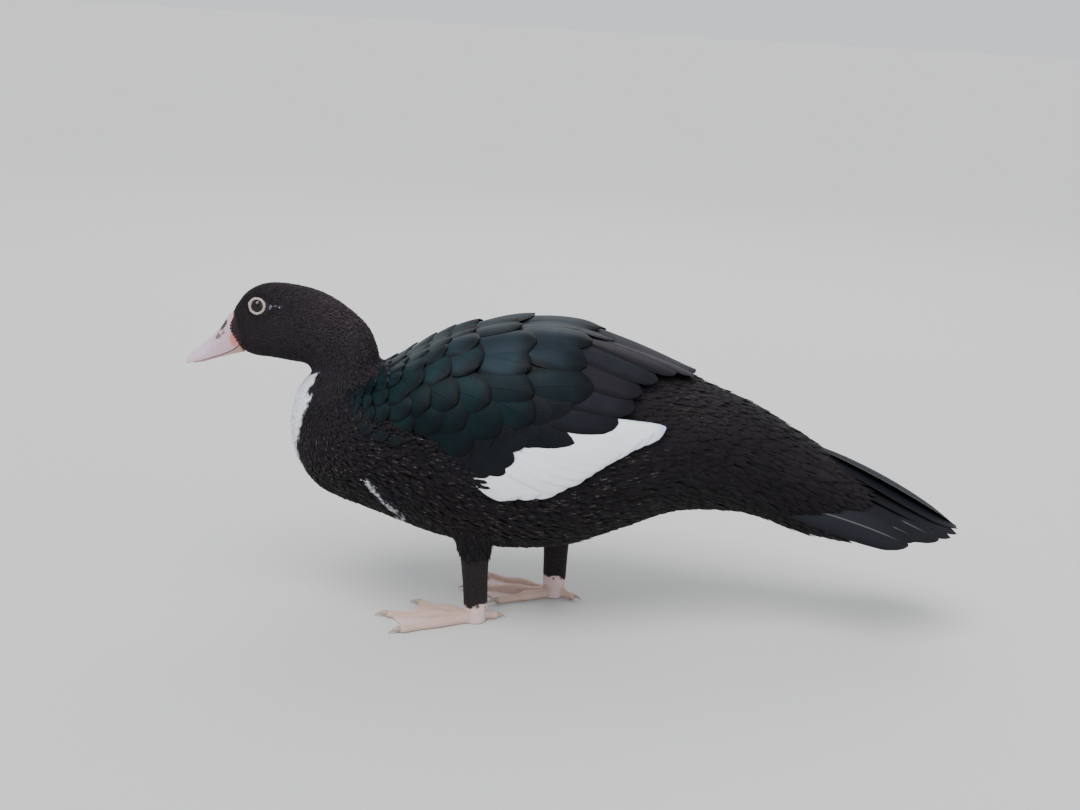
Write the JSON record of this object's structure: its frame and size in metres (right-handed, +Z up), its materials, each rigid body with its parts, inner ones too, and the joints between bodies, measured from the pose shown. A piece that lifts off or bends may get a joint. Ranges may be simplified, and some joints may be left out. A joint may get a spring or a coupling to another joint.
{
  "type": "muscovy duck",
  "caption": "Life-size still model of a standing muscovy duck, with head, bill, neck, torso, folded feathered wings, tail, legs and webbed feet.",
  "frame": {"origin": "on the floor under the middle of the bird's bounding box", "axes": "+X from the bill towards the tail, +Y from the bird's left side to its right side, +Z up"},
  "size_m": [0.6756, 0.179, 0.281],
  "materials": {
    "plumage": "matte black body feathers with a brown and violet sheen",
    "wing_feathers": "satin black-green flight and covert feathers, with a white band on the secondaries",
    "tail_feathers": "satin black tail feathers with a navy sheen",
    "bill_horn": "smooth pale pink horn with dark marks at the nostrils",
    "eye": "wet dark brown eye",
    "leg_skin": "scaled dark grey leg skin fading to pink at the ankle",
    "foot_skin": "soft scaled pink foot skin and webs",
    "claw": "grey-brown horn claws"
  },
  "bodies": {
    "root": {"head": "plumage", "neck": "plumage", "torso": "plumage", "tail": "tail_feathers", "bill_upper": "bill_horn", "bill_lower": "bill_horn", "eye_left": "eye", "wing_left": "wing_feathers", "leg_left": "leg_skin", "foot_left": "foot_skin", "claw_left_inner": "claw", "claw_left_middle": "claw", "claw_left_outer": "claw", "eye_right": "eye", "wing_right": "wing_feathers", "leg_right": "leg_skin", "foot_right": "foot_skin", "claw_right_inner": "claw", "claw_right_middle": "claw", "claw_right_outer": "claw"}
  },
  "joints": []
}
